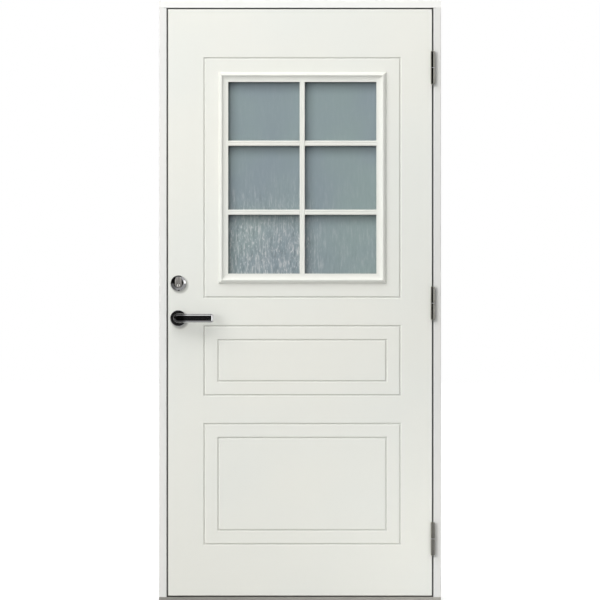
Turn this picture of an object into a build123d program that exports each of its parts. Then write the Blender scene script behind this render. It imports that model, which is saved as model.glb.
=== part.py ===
from build123d import *
import os
from math import cos, radians, sin, tan

# Outward opening front door in its frame: a painted insulated leaf with a six-light window,
# three lift-off hinges, a lever handle, a mortise lock and an aluminium clad threshold.
# Millimetres. X runs to the right as seen from outside, Y from outside to inside, Z up.
# The origin is the middle of the threshold's underside.

# Frame
FRAME_WIDTH = 980.0
FRAME_HEIGHT = 2090.0
FRAME_DEPTH = 115.0
FRAME_FACE = 27.0
STOP_PROUD = 13.0
FRAME_ROUND = 2.0

# Threshold
SILL_HEIGHT = 17.5
SILL_FALL = 1.5
SILL_STOP_HEIGHT = 34.0
SILL_STOP_DEPTH = 12.0
SILL_INNER_FALL = 6.0
COVER_THICKNESS = 2.0

# Fixing holes in the jambs
FIXING_HOLE = 8.0
FIXING_HEAD = 16.0
FIXING_HEAD_DEPTH = 6.0
FIXING_FROM_BOTTOM = 105.0
FIXING_FROM_TOP = 155.0
FIXING_COUNT = 4
FIXING_INSET = 37.5

# Leaf
LEAF_GAP = 3.5
SILL_GAP = 3.0
LEAF_THICKNESS = 62.0
OUTER_SKIN = 8.0
INNER_SKIN = 4.0
SKIN_BEVEL = 1.5
STILE_WIDTH = 38.0
RAIL_HEIGHT = 38.0
LOCK_BLOCK_WIDTH = 86.0
LOCK_BLOCK_HEIGHT = 302.0

# Milled fields on the outer skin
FIELD_FROM_LOCK_EDGE = 127.5
FIELD_FROM_HINGE_EDGE = 111.5
FIELD_FROM_BOTTOM = 179.0
FIELD_FROM_TOP = 171.0
LOWER_FIELD = 418.0
MIDDLE_FIELD = 240.0
FIELD_GAP = 100.0
FIELD_BORDER = 48.5
GROOVE_WIDTH = 8.5
GROOVE_FLAT = 1.0
GROOVE_DEPTH = 3.0

# Window
MOULDING_WIDTH = 34.0
MOULDING_HEIGHT = 12.5
MOULDING_CREST = 22.0
MOULDING_CREST_WIDTH = 1.5
MOULDING_LIP = 6.0
MOULDING_LIP_HEIGHT = 4.0
MOULDING_EDGE = 2.0
COVE_START = (1, 0.05)
COVE_END = (0.55, 1)
SLOPE_START = (1, -0.35)
SLOPE_END = (0.6, -1)
MITRE_JOINT = 0.2
GLASS_SETBACK = 8.0
PANE_THICKNESS = 4.0
PANE_SPACE = 12.0
SPACER_HEIGHT = 8.0
SPACER_INSET = 3.0
GLASS_BITE = 15.0
GLASS_CLEARANCE = 3.0
WINDOW_POST = 30.0
BAR_WIDTH = 18.0
BAR_PITCH_SHARE = 0.36
BAR_BEVEL = 2.0
BAR_GROOVE = 4.0
BAR_GROOVE_DEPTH = 1.0

# Seals
SEAL_SPACE = 4.0
SEAL_WIDTH = 7.0
SEAL_ROUND = 1.5
SEAL_FOOT_WIDTH = 3.0
SEAL_FOOT_DEPTH = 6.0

# Hinges
HINGE_FROM_BOTTOM = 198.5
HINGE_FROM_TOP = 204.5
HINGE_LENGTH = 116.0
KNUCKLE = 14.5
KNUCKLE_STANDOFF = 8.5
KNUCKLE_ROUND = 3.0
KNUCKLE_CAP = 5.0
HINGE_PIN = 8.0
HINGE_WASHER = 1.6
FLAG_THICKNESS = 3.0
FLAG_HEIGHT = 110.0
FLAG_WIDTH = 30.0
FLAG_SETBACK = 4.0
FLAG_ROUND = 6.0
FLAG_SCREW_PITCH = 38.0

# Screws
SCREW_SHANK = 4.5
SCREW_HEAD = 8.6
SCREW_LENGTH = 20.0
SCREW_HEAD_ANGLE = 90.0

# Lock
BACKSET = 37.0
HANDLE_HEIGHT = 985.0
CYLINDER_RISE = 124.5
PLUG_DROP = 11.0
CASE_DEPTH = 60.0
CASE_THICKNESS = 16.0
CASE_WALL = 1.5
CASE_HEIGHT = 212.0
FOREND_THICKNESS = 3.0
FOREND_WIDTH = 24.0
FOREND_EXTRA = 18.0
FOREND_ROUND = 5.0
STRIKE_WIDTH = 28.0
STRIKE_THICKNESS = 3.0
POCKET_DEPTH = 19.0
STRIKE_PLAY = 2.0
BOLT_WIDTH = 12.0
LATCH_THROW = 12.0
LATCH_HEIGHT = 28.0
LATCH_LENGTH = 25.0
LATCH_RISE = 6.0
LATCH_NOSE = 3.0
DEADBOLT_THROW = 14.0
DEADBOLT_HEIGHT = 30.0
DEADBOLT_GUIDE = 12.0
DEADBOLT_RISE = 3.0
TAIL_THICKNESS = 2.5
FOLLOWER_HUB = 20.0
FOLLOWER_BOSS = 16.0
FOLLOWER_REACH = 20.0
FOLLOWER_ARM = 5.0
LATCH_LUG = 4.0
LATCH_LUG_SPACE = 1.1
CAM_BOSS = 10.0
CAM_ARM = 7.0
CAM_PIN = 4.0
CAM_THICKNESS = 4.5
CAM_ANGLE = 45.0
TURNER_SHAFT = 6.0
FORK_PRONG = 4.0
FORK_PLAY = 0.7

# Cylinder, thumbturn, rosettes and levers
OVAL_WIDTH = 25.0
OVAL_HEIGHT = 37.5
OVAL_PROUD = 5.5
OVAL_BEVEL = 0.8
PLUG = 12.0
KEYWAY_WIDTH = 3.0
KEYWAY_HEIGHT = 8.5
KEYWAY_DEPTH = 12.0
RING = 53.5
RING_DROP = 3.0
RING_HEIGHT = 8.5
RING_EDGE = 3.0
RING_CROWN = 31.0
RING_MOUTH = 32.0
RING_FLOOR = 2.0
ROSETTE = 56.5
INNER_ROSETTE = 52.0
ROSETTE_HEIGHT = 8.0
ROSETTE_ROUND = 1.5
TURN_ROSE = 52.0
TURN_NECK = 12.0
TURN_NECK_LENGTH = 12.0
TURN_GRIP_LENGTH = 36.0
TURN_GRIP_WIDTH = 12.0
TURN_GRIP_DEPTH = 18.0
TURN_GRIP_ROUND = 2.0
SPINDLE = 8.0
SPINDLE_GRIP = 30.0
LEVER_NECK = 18.0
LEVER_LENGTH = 125.0
LEVER_HEIGHT = 32.0
LEVER_THICKNESS = 15.5
LEVER_PROJECTION = 55.0
LEVER_RETURN = 32.0
LEVER_BEND = 14.0
LEVER_INNER_BEND = 7.0
LEVER_ROUND = 7.5

# Clearances
MOVING_GAP = 0.3
FIT_GAP = 0.1
RUNNING_GAP = 0.05
BORE_GAP = 1.0
BOLT_GAP = 0.5
PICK_MARGIN = 0.1

# Places that follow from the sizes above
frame_front = -FRAME_DEPTH / 2
frame_back = FRAME_DEPTH / 2
leaf_front = frame_front
leaf_back = leaf_front + LEAF_THICKNESS
leaf_middle = (leaf_front + leaf_back) / 2
core_front = leaf_front + OUTER_SKIN
core_back = leaf_back - INNER_SKIN
stop_front = leaf_back + SEAL_SPACE
frame_edge = FRAME_WIDTH / 2
rebate_x = frame_edge - FRAME_FACE
stop_x = rebate_x - STOP_PROUD
leaf_x = rebate_x - LEAF_GAP
rebate_z = FRAME_HEIGHT - FRAME_FACE
stop_z = rebate_z - STOP_PROUD
leaf_top = rebate_z - LEAF_GAP
leaf_bottom = SILL_HEIGHT + SILL_GAP

field_x = (FIELD_FROM_LOCK_EDGE - leaf_x, leaf_x - FIELD_FROM_HINGE_EDGE)
field_middle = (field_x[0] + field_x[1]) / 2
field_width = field_x[1] - field_x[0]
lower_field = (leaf_bottom + FIELD_FROM_BOTTOM, leaf_bottom + FIELD_FROM_BOTTOM + LOWER_FIELD)
middle_field = (lower_field[1] + FIELD_GAP, lower_field[1] + FIELD_GAP + MIDDLE_FIELD)
upper_field = (middle_field[1] + FIELD_GAP, leaf_top - FIELD_FROM_TOP)

window_z = (upper_field[0] + upper_field[1]) / 2
window_width = field_width - 2 * FIELD_BORDER
window_height = upper_field[1] - upper_field[0] - 2 * FIELD_BORDER
sight_width = window_width - 2 * MOULDING_WIDTH
sight_height = window_height - 2 * MOULDING_WIDTH
glass_width = sight_width + 2 * GLASS_BITE
glass_height = sight_height + 2 * GLASS_BITE
opening_width = glass_width + 2 * GLASS_CLEARANCE
opening_height = glass_height + 2 * GLASS_CLEARANCE
window_x = (field_middle - opening_width / 2, field_middle + opening_width / 2)
window_span = (window_z - opening_height / 2, window_z + opening_height / 2)
glass_front = leaf_front + GLASS_SETBACK
pane_names = ["glass_outer", "glass_middle", "glass_inner"]
pane_fronts = [glass_front + i * (PANE_THICKNESS + PANE_SPACE) for i in range(len(pane_names))]
glass_back = pane_fronts[-1] + PANE_THICKNESS
moulding_leg = GLASS_BITE + GLASS_CLEARANCE - FIT_GAP

hinge_x = (leaf_x + rebate_x) / 2
hinge_y = leaf_front - KNUCKLE_STANDOFF
hinge_names = ["bottom", "middle", "top"]
hinge_span = (leaf_bottom + HINGE_FROM_BOTTOM, leaf_top - HINGE_FROM_TOP)
hinge_heights = [hinge_span[0], (hinge_span[0] + hinge_span[1]) / 2, hinge_span[1]]
flag_front = leaf_front + FLAG_SETBACK
flag_middle = flag_front + FLAG_WIDTH / 2

lock_x = -leaf_x + BACKSET
cylinder_z = HANDLE_HEIGHT + CYLINDER_RISE
turner_z = cylinder_z - PLUG_DROP
ring_z = cylinder_z - RING_DROP
case_front = -leaf_x + FOREND_THICKNESS
case_end = case_front + CASE_DEPTH
case_middle = (HANDLE_HEIGHT + cylinder_z) / 2
case_z = (case_middle - CASE_HEIGHT / 2, case_middle + CASE_HEIGHT / 2)
case_y = (leaf_middle - CASE_THICKNESS / 2, leaf_middle + CASE_THICKNESS / 2)
forend_z = (case_z[0] - FOREND_EXTRA, case_z[1] + FOREND_EXTRA)
forend_height = forend_z[1] - forend_z[0]
latch_z = (HANDLE_HEIGHT + LATCH_RISE - LATCH_HEIGHT / 2, HANDLE_HEIGHT + LATCH_RISE + LATCH_HEIGHT / 2)
latch_tip = -leaf_x - LATCH_THROW
deadbolt_middle = turner_z + DEADBOLT_RISE
deadbolt_z = (deadbolt_middle - DEADBOLT_HEIGHT / 2, deadbolt_middle + DEADBOLT_HEIGHT / 2)
deadbolt_tip = -leaf_x + MOVING_GAP
bolt_y = (leaf_middle - BOLT_WIDTH / 2, leaf_middle + BOLT_WIDTH / 2)
tail_y = (bolt_y[1] - BOLT_GAP - TAIL_THICKNESS, bolt_y[1] - BOLT_GAP)
cam_radius = DEADBOLT_THROW / 2 / cos(radians(CAM_ANGLE))
fixing_spacing = (FRAME_HEIGHT - FIXING_FROM_TOP - FIXING_FROM_BOTTOM) / (FIXING_COUNT - 1)
fixing_heights = [FIXING_FROM_BOTTOM + i * fixing_spacing for i in range(FIXING_COUNT)]

os.makedirs("parts", exist_ok=True)


def depth_plane(y):
    """The upright plane at depth y, facing outside."""
    return Plane.XZ.offset(-y)


def edge_plane(x):
    """The upright plane across the door at x, facing the hinge side."""
    return Plane.YZ.offset(x)


def section_plane(origin, across, depth):
    """A plane for a section whose local x runs across and whose local y runs in depth."""
    return Plane(origin, x_dir=across, z_dir=Vector(across).cross(Vector(depth)))


def block(x, y, z, mode=Mode.ADD):
    """A box between a low and a high value on each axis, in the part that is being built."""
    with Locations(((x[0] + x[1]) / 2, (y[0] + y[1]) / 2, (z[0] + z[1]) / 2)):
        Box(x[1] - x[0], y[1] - y[0], z[1] - z[0], mode=mode)


def countersunk_screws(places):
    """Countersunk wood screws, their heads flush with each place's plane."""
    head_depth = (SCREW_HEAD - SCREW_SHANK) / 2 / tan(radians(SCREW_HEAD_ANGLE / 2))
    for place in places:
        with BuildSketch(place) as head:
            Circle(SCREW_HEAD / 2)
        extrude(head.sketch, amount=-head_depth, taper=SCREW_HEAD_ANGLE / 2)
        with BuildSketch(place.offset(-head_depth)) as shank:
            Circle(SCREW_SHANK / 2)
        extrude(shank.sketch, amount=head_depth - SCREW_LENGTH)


def screw_holes(places):
    """Countersunk holes for those screws, a fitting gap larger."""
    with Locations(*[Location(place) for place in places]):
        CounterSinkHole(
            radius=SCREW_SHANK / 2 + FIT_GAP,
            counter_sink_radius=SCREW_HEAD / 2 + FIT_GAP,
            depth=SCREW_LENGTH + FIT_GAP,
            counter_sink_angle=SCREW_HEAD_ANGLE,
        )


# Threshold

sill_top = [
    (frame_front, 0),
    (frame_front, SILL_HEIGHT - SILL_FALL),
    (stop_front, SILL_HEIGHT),
    (stop_front, SILL_STOP_HEIGHT),
    (stop_front + SILL_STOP_DEPTH, SILL_STOP_HEIGHT),
]

with BuildPart() as sill_envelope:
    with BuildSketch(Plane.YZ) as sill_section:
        Polygon(
            *sill_top,
            (frame_back, SILL_STOP_HEIGHT - SILL_INNER_FALL),
            (frame_back, 0),
            align=None,
        )
    extrude(amount=FRAME_WIDTH / 2, both=True)

seal_x = (leaf_x + stop_x) / 2
seal_z = (leaf_top + stop_z) / 2
sill_seal_z = (leaf_bottom + SILL_STOP_HEIGHT) / 2
seal_front = leaf_back + MOVING_GAP

with BuildPart() as frame_gasket:
    foot_bottom = SILL_STOP_HEIGHT + MOVING_GAP
    bulb_bottom = SILL_HEIGHT + MOVING_GAP
    for bottom, width, front, back in (
        (bulb_bottom, SEAL_WIDTH, seal_front, stop_front),
        (foot_bottom, SEAL_FOOT_WIDTH, stop_front, stop_front + SEAL_FOOT_DEPTH),
    ):
        with BuildSketch(depth_plane(front)) as seal_frame:
            for grow, mode in ((width / 2, Mode.ADD), (-width / 2, Mode.SUBTRACT)):
                top = seal_z + grow
                with Locations((0, (top + bottom) / 2)):
                    Rectangle(2 * (seal_x + grow), top - bottom, mode=mode)
        extrude(amount=front - back)
        if front == seal_front:
            fillet(frame_gasket.faces().sort_by(Axis.Y)[0].edges(), SEAL_ROUND)
frame_gasket.part.label = "frame_gasket"
export_step(frame_gasket.part, "parts/frame_gasket.step")

with BuildPart() as threshold_gasket:
    seal_half = seal_x - SEAL_WIDTH / 2 - MOVING_GAP
    block(
        (-seal_half, seal_half),
        (seal_front, stop_front),
        (sill_seal_z - SEAL_WIDTH / 2, sill_seal_z + SEAL_WIDTH / 2),
    )
    fillet(threshold_gasket.faces().sort_by(Axis.Y)[0].edges().filter_by(Axis.X), SEAL_ROUND)
    block(
        (-seal_half, seal_half),
        (stop_front, stop_front + SEAL_FOOT_DEPTH),
        (sill_seal_z - SEAL_FOOT_WIDTH / 2, sill_seal_z + SEAL_FOOT_WIDTH / 2),
    )
threshold_gasket.part.label = "threshold_gasket"
export_step(threshold_gasket.part, "parts/threshold_gasket.step")

with BuildPart() as threshold_cover:
    with BuildSketch(Plane.YZ) as cover_section:
        with BuildLine() as cover_line:
            Polyline(
                *sill_top,
                (stop_front + SILL_STOP_DEPTH, SILL_STOP_HEIGHT - COVER_THICKNESS),
                (stop_front + COVER_THICKNESS, SILL_STOP_HEIGHT - COVER_THICKNESS),
                (stop_front + COVER_THICKNESS, SILL_HEIGHT - COVER_THICKNESS),
                (frame_front + COVER_THICKNESS, SILL_HEIGHT - SILL_FALL - COVER_THICKNESS),
                (frame_front + COVER_THICKNESS, 0),
                close=True,
            )
        make_face()
    extrude(amount=FRAME_WIDTH / 2, both=True)
    add(threshold_gasket.part, mode=Mode.SUBTRACT)
threshold_cover.part.label = "threshold_cover"
export_step(threshold_cover.part, "parts/threshold_cover.step")

with BuildPart() as threshold:
    add(sill_envelope.part)
    add(threshold_cover.part, mode=Mode.SUBTRACT)
    add(threshold_gasket.part, mode=Mode.SUBTRACT)
threshold.part.label = "threshold"
export_step(threshold.part, "parts/threshold.step")


# Hinge places, needed by the frame and the leaf


def flag_screw_planes(z, side):
    """Where a flag's three screws sit: side -1 is the leaf's flag, +1 the frame's."""
    face = leaf_x if side < 0 else rebate_x
    return [
        Plane((face, flag_middle, z + i * FLAG_SCREW_PITCH), x_dir=(0, 1, 0), z_dir=(-side, 0, 0))
        for i in (-1, 0, 1)
    ]


def knuckle_span(z, side):
    """The stretch of the axis that a half's knuckle holds: the leaf's half sits on top."""
    if side < 0:
        return z + HINGE_WASHER / 2 + MOVING_GAP, z + HINGE_LENGTH / 2
    return z - HINGE_LENGTH / 2, z - HINGE_WASHER / 2


def flag_plate(z, side, gap):
    """A hinge flag and its neck, or with a gap the recess that it is let into."""
    face = leaf_x if side < 0 else rebate_x
    low, high = knuckle_span(z, side)
    with BuildPart() as plate:
        with BuildSketch(edge_plane(face)) as flag:
            with Locations((flag_middle, z)):
                RectangleRounded(FLAG_WIDTH + 2 * gap, FLAG_HEIGHT + 2 * gap, FLAG_ROUND + gap)
            with Locations(((hinge_y + flag_middle) / 2, (low + high) / 2)):
                Rectangle(flag_middle - hinge_y, high - low + 2 * gap)
        extrude(amount=side * (FLAG_THICKNESS + gap))
    return plate.part


frame_flag_screws = [plane for z in hinge_heights for plane in flag_screw_planes(z, 1)]
leaf_flag_screws = [plane for z in hinge_heights for plane in flag_screw_planes(z, -1)]


# Frame


def frame_section():
    """The frame's section: local x runs inwards from its outer face, local y in depth."""
    Polygon(
        (0, frame_front),
        (FRAME_FACE, frame_front),
        (FRAME_FACE, stop_front),
        (FRAME_FACE + STOP_PROUD, stop_front),
        (FRAME_FACE + STOP_PROUD, frame_back),
        (0, frame_back),
        align=None,
    )


with BuildPart() as frame_head:
    with BuildSketch(section_plane((0, 0, FRAME_HEIGHT), (0, 0, -1), (0, 1, 0))) as head_section:
        frame_section()
        fillet(head_section.vertices().group_by(Axis.Y)[0], FRAME_ROUND)
    extrude(amount=FRAME_WIDTH / 2, both=True)
    add(frame_gasket.part, mode=Mode.SUBTRACT)
frame_head.part.label = "frame_head"
export_step(frame_head.part, "parts/frame_head.step")


def jamb(side):
    """A bare jamb, side -1 at the lock and +1 at the hinges, cut to the head and the threshold."""
    with BuildPart() as post:
        with BuildSketch(section_plane((side * frame_edge, 0, 0), (-side, 0, 0), (0, 1, 0))) as section:
            frame_section()
            fillet(section.vertices().group_by(Axis.Y)[0], FRAME_ROUND)
        extrude(amount=-side * rebate_z)
        add(frame_head.part, mode=Mode.SUBTRACT)
        add(sill_envelope.part, mode=Mode.SUBTRACT)
        add(frame_gasket.part, mode=Mode.SUBTRACT)
        fixings = [
            Plane((side * rebate_x, frame_front + FIXING_INSET, z), x_dir=(0, 1, 0), z_dir=(-side, 0, 0))
            for z in fixing_heights
        ]
        with Locations(*[Location(plane) for plane in fixings]):
            CounterBoreHole(FIXING_HOLE / 2, FIXING_HEAD / 2, FIXING_HEAD_DEPTH, depth=FRAME_FACE)
    return post.part


def bolt_space(play, depth):
    """The room that the two bolts need past the rebate face, with play all round."""
    with BuildPart() as space:
        for low, high in (latch_z, deadbolt_z):
            block(
                (-rebate_x - depth, -rebate_x),
                (bolt_y[0] - play, bolt_y[1] + play),
                (low - play, high + play),
            )
    return space.part


def edge_plate(x, width, thickness):
    """A plate with rounded corners at the lock's height, let into the leaf's or the frame's edge."""
    with BuildPart() as plate:
        with BuildSketch(edge_plane(x)) as plate_face:
            with Locations((leaf_middle, case_middle)):
                RectangleRounded(width, forend_height, FOREND_ROUND)
        extrude(amount=thickness)
    return plate.part


strike_screws_at = [
    Plane((-rebate_x, leaf_middle, z), x_dir=(0, 1, 0), z_dir=(1, 0, 0))
    for z in (forend_z[0] + FOREND_EXTRA / 2, forend_z[1] - FOREND_EXTRA / 2)
]

with BuildPart() as strike_plate:
    add(edge_plate(-rebate_x, STRIKE_WIDTH, -STRIKE_THICKNESS))
    add(bolt_space(STRIKE_PLAY, STRIKE_THICKNESS), mode=Mode.SUBTRACT)
    screw_holes(strike_screws_at)
strike_plate.part.label = "strike_plate"
export_step(strike_plate.part, "parts/strike_plate.step")

with BuildPart() as strike_screws:
    countersunk_screws(strike_screws_at)
strike_screws.part.label = "strike_screws"
export_step(strike_screws.part, "parts/strike_screws.step")

with BuildPart() as frame_lock_jamb:
    add(jamb(-1))
    add(bolt_space(STRIKE_PLAY, STRIKE_THICKNESS + POCKET_DEPTH), mode=Mode.SUBTRACT)
    add(edge_plate(-rebate_x, STRIKE_WIDTH, -STRIKE_THICKNESS), mode=Mode.SUBTRACT)
    screw_holes(strike_screws_at)
frame_lock_jamb.part.label = "frame_lock_jamb"
export_step(frame_lock_jamb.part, "parts/frame_lock_jamb.step")

with BuildPart() as frame_hinge_jamb:
    add(jamb(1))
    for z in hinge_heights:
        add(flag_plate(z, 1, FIT_GAP), mode=Mode.SUBTRACT)
    screw_holes(frame_flag_screws)
frame_hinge_jamb.part.label = "frame_hinge_jamb"
export_step(frame_hinge_jamb.part, "parts/frame_hinge_jamb.step")


# Hinges


def hinge_half(z, side):
    """One half of a lift-off hinge: a rounded knuckle with its neck and screwed flag."""
    low, high = knuckle_span(z, side)
    with BuildPart() as half:
        with BuildSketch(Plane.XY.offset(low)) as round_bar:
            with Locations((hinge_x, hinge_y)):
                Circle(KNUCKLE / 2)
        extrude(amount=high - low)
        tip = half.faces().sort_by(Axis.Z)[-1 if side < 0 else 0]
        fillet(tip.edges(), KNUCKLE_ROUND)
        add(flag_plate(z, side, 0))
        pin_low, pin_high = (low, high - KNUCKLE_CAP) if side < 0 else (low + KNUCKLE_CAP, high)
        with BuildSketch(Plane.XY.offset(pin_low)) as pin_bore:
            with Locations((hinge_x, hinge_y)):
                Circle(HINGE_PIN / 2 + RUNNING_GAP)
        extrude(amount=pin_high - pin_low, mode=Mode.SUBTRACT)
        screw_holes(flag_screw_planes(z, side))
    return half.part


for name, z in zip(hinge_names, hinge_heights):
    for owner, side in (("frame", 1), ("leaf", -1)):
        with BuildPart() as hinge:
            add(hinge_half(z, side))
        hinge.part.label = f"hinge_{name}_{owner}_half"
        export_step(hinge.part, f"parts/hinge_{name}_{owner}_half.step")

with BuildPart() as hinge_pins:
    for z in hinge_heights:
        low = knuckle_span(z, 1)[0] + KNUCKLE_CAP
        high = knuckle_span(z, -1)[1] - KNUCKLE_CAP - BORE_GAP
        with BuildSketch(Plane.XY.offset(low)) as pin_section:
            with Locations((hinge_x, hinge_y)):
                Circle(HINGE_PIN / 2)
        extrude(amount=high - low)
hinge_pins.part.label = "hinge_pins"
export_step(hinge_pins.part, "parts/hinge_pins.step")

with BuildPart() as hinge_washers:
    for z in hinge_heights:
        with BuildSketch(Plane.XY.offset(z - HINGE_WASHER / 2)) as ring_section:
            with Locations((hinge_x, hinge_y)):
                Circle(KNUCKLE / 2)
                Circle(HINGE_PIN / 2 + RUNNING_GAP, mode=Mode.SUBTRACT)
        extrude(amount=HINGE_WASHER)
hinge_washers.part.label = "hinge_washers"
export_step(hinge_washers.part, "parts/hinge_washers.step")

with BuildPart() as hinge_frame_screws:
    countersunk_screws(frame_flag_screws)
hinge_frame_screws.part.label = "hinge_frame_screws"
export_step(hinge_frame_screws.part, "parts/hinge_frame_screws.step")

with BuildPart() as hinge_leaf_screws:
    countersunk_screws(leaf_flag_screws)
hinge_leaf_screws.part.label = "hinge_leaf_screws"
export_step(hinge_leaf_screws.part, "parts/hinge_leaf_screws.step")

with BuildPart() as leaf_hinge_recesses:
    for z in hinge_heights:
        add(flag_plate(z, -1, FIT_GAP))


# Room for the lock in the leaf


def bore_along_y(x, z, radius, y_low, y_high, mode=Mode.ADD):
    """A round bar or hole across the leaf between two depths."""
    with BuildSketch(depth_plane(y_low)) as round_face:
        with Locations((x, z)):
            Circle(radius)
    extrude(round_face.sketch, amount=y_low - y_high, mode=mode)


with BuildPart() as lock_room:
    bore_along_y(lock_x, HANDLE_HEIGHT, FOLLOWER_BOSS / 2 + BORE_GAP, leaf_front, leaf_back)
    bore_along_y(lock_x, turner_z, CAM_BOSS / 2 + BORE_GAP, leaf_middle, leaf_back)
    with BuildSketch(depth_plane(leaf_front)) as oval_hole:
        with Locations((lock_x, cylinder_z)):
            SlotOverall(OVAL_HEIGHT + 2 * BORE_GAP, OVAL_WIDTH + 2 * BORE_GAP, rotation=90)
    extrude(amount=leaf_front - leaf_middle)
    block(
        (-leaf_x, case_end + FIT_GAP),
        (case_y[0] - FIT_GAP, case_y[1] + FIT_GAP),
        (case_z[0] - FIT_GAP, case_z[1] + FIT_GAP),
    )
    add(edge_plate(-leaf_x, FOREND_WIDTH, FOREND_THICKNESS))


# Leaf: skins


def groove_ring(width, low, high):
    """A V groove along a rectangle between two heights, as the cutter leaves it."""
    height = high - low
    with BuildPart() as ring:
        for grow, mode in ((1, Mode.ADD), (-1, Mode.SUBTRACT)):
            for depth, opening in ((0, GROOVE_WIDTH), (GROOVE_DEPTH, GROOVE_FLAT)):
                with BuildSketch(depth_plane(leaf_front + depth)) as level:
                    with Locations((field_middle, (low + high) / 2)):
                        Rectangle(width + grow * opening, height + grow * opening)
            loft(mode=mode)
    return ring.part


with BuildPart() as outer_skin:
    block((-leaf_x, leaf_x), (leaf_front, core_front), (leaf_bottom, leaf_top))
    chamfer(outer_skin.faces().sort_by(Axis.Y)[0].edges(), SKIN_BEVEL)
    block(window_x, (leaf_front, core_front), window_span, mode=Mode.SUBTRACT)
    for low, high in (lower_field, middle_field, upper_field):
        add(groove_ring(field_width, low, high), mode=Mode.SUBTRACT)
    for low, high in (lower_field, middle_field):
        add(groove_ring(window_width, low + FIELD_BORDER, high - FIELD_BORDER), mode=Mode.SUBTRACT)
    add(lock_room.part, mode=Mode.SUBTRACT)
    add(leaf_hinge_recesses.part, mode=Mode.SUBTRACT)
outer_skin.part.label = "outer_skin"
export_step(outer_skin.part, "parts/outer_skin.step")

with BuildPart() as inner_skin:
    block((-leaf_x, leaf_x), (core_back, leaf_back), (leaf_bottom, leaf_top))
    chamfer(inner_skin.faces().sort_by(Axis.Y)[-1].edges(), SKIN_BEVEL)
    block(window_x, (core_back, leaf_back), window_span, mode=Mode.SUBTRACT)
    add(lock_room.part, mode=Mode.SUBTRACT)
inner_skin.part.label = "inner_skin"
export_step(inner_skin.part, "parts/inner_skin.step")


# Leaf: timber frame and insulation

core_y = (core_front, core_back)
stile_inner = leaf_x - STILE_WIDTH
rail_z = (leaf_bottom + RAIL_HEIGHT, leaf_top - RAIL_HEIGHT)
block_end = -leaf_x + LOCK_BLOCK_WIDTH
block_z = (case_middle - LOCK_BLOCK_HEIGHT / 2, case_middle + LOCK_BLOCK_HEIGHT / 2)
window_rail_z = (window_span[0] - WINDOW_POST, window_span[1] + WINDOW_POST)

forend_screws_at = [
    Plane((-leaf_x, leaf_middle, z), x_dir=(0, 1, 0), z_dir=(-1, 0, 0))
    for z in (forend_z[0] + FOREND_EXTRA / 2, forend_z[1] - FOREND_EXTRA / 2)
]

# The lock block runs through to the leaf's edge, with a length of stile below and above it.
with BuildPart() as lock_stile:
    for span in ((leaf_bottom, block_z[0]), (block_z[1], leaf_top)):
        block((-leaf_x, -stile_inner), core_y, span)
lock_stile.part.label = "lock_stile"
export_step(lock_stile.part, "parts/lock_stile.step")

with BuildPart() as hinge_stile:
    block((stile_inner, leaf_x), core_y, (leaf_bottom, leaf_top))
    add(leaf_hinge_recesses.part, mode=Mode.SUBTRACT)
    screw_holes(leaf_flag_screws)
hinge_stile.part.label = "hinge_stile"
export_step(hinge_stile.part, "parts/hinge_stile.step")

with BuildPart() as top_rail:
    block((-stile_inner, stile_inner), core_y, (rail_z[1], leaf_top))
top_rail.part.label = "top_rail"
export_step(top_rail.part, "parts/top_rail.step")

with BuildPart() as bottom_rail:
    block((-stile_inner, stile_inner), core_y, (leaf_bottom, rail_z[0]))
bottom_rail.part.label = "bottom_rail"
export_step(bottom_rail.part, "parts/bottom_rail.step")

with BuildPart() as lock_block:
    block((-leaf_x, block_end), core_y, block_z)
    add(lock_room.part, mode=Mode.SUBTRACT)
    screw_holes(forend_screws_at)
lock_block.part.label = "lock_block"
export_step(lock_block.part, "parts/lock_block.step")

with BuildPart() as window_rails:
    for low, high in ((window_rail_z[0], window_span[0]), (window_span[1], window_rail_z[1])):
        block((-stile_inner, stile_inner), core_y, (low, high))
    block((-stile_inner, block_end), core_y, block_z, mode=Mode.SUBTRACT)
window_rails.part.label = "window_rails"
export_step(window_rails.part, "parts/window_rails.step")

with BuildPart() as window_posts:
    for low, high in ((window_x[0] - WINDOW_POST, window_x[0]), (window_x[1], window_x[1] + WINDOW_POST)):
        block((low, high), core_y, window_span)
window_posts.part.label = "window_posts"
export_step(window_posts.part, "parts/window_posts.step")

with BuildPart() as insulation_core:
    block((-stile_inner, stile_inner), core_y, (rail_z[0], window_rail_z[0]))
    block((-stile_inner, stile_inner), core_y, (window_rail_z[1], rail_z[1]))
    block((-stile_inner, window_x[0] - WINDOW_POST), core_y, window_span)
    block((window_x[1] + WINDOW_POST, stile_inner), core_y, window_span)
    block((-stile_inner, block_end), core_y, block_z, mode=Mode.SUBTRACT)
insulation_core.part.label = "insulation_core"
export_step(insulation_core.part, "parts/insulation_core.step")


# Window: sealed unit of three panes

for name, pane_front in zip(pane_names, pane_fronts):
    with BuildPart() as pane:
        with BuildSketch(depth_plane(pane_front)) as pane_face:
            with Locations((field_middle, window_z)):
                Rectangle(glass_width, glass_height)
        extrude(amount=-PANE_THICKNESS)
    pane.part.label = name
    export_step(pane.part, f"parts/{name}.step")

with BuildPart() as glass_spacers:
    spacer_width = glass_width - 2 * SPACER_INSET
    spacer_tall = glass_height - 2 * SPACER_INSET
    for pane_front in pane_fronts[:-1]:
        with BuildSketch(depth_plane(pane_front + PANE_THICKNESS)) as spacer_face:
            with Locations((field_middle, window_z)):
                Rectangle(spacer_width, spacer_tall)
                Rectangle(
                    spacer_width - 2 * SPACER_HEIGHT,
                    spacer_tall - 2 * SPACER_HEIGHT,
                    mode=Mode.SUBTRACT,
                )
        extrude(amount=-PANE_SPACE)
glass_spacers.part.label = "glass_spacers"
export_step(glass_spacers.part, "parts/glass_spacers.step")


# Window: mitred mouldings


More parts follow.
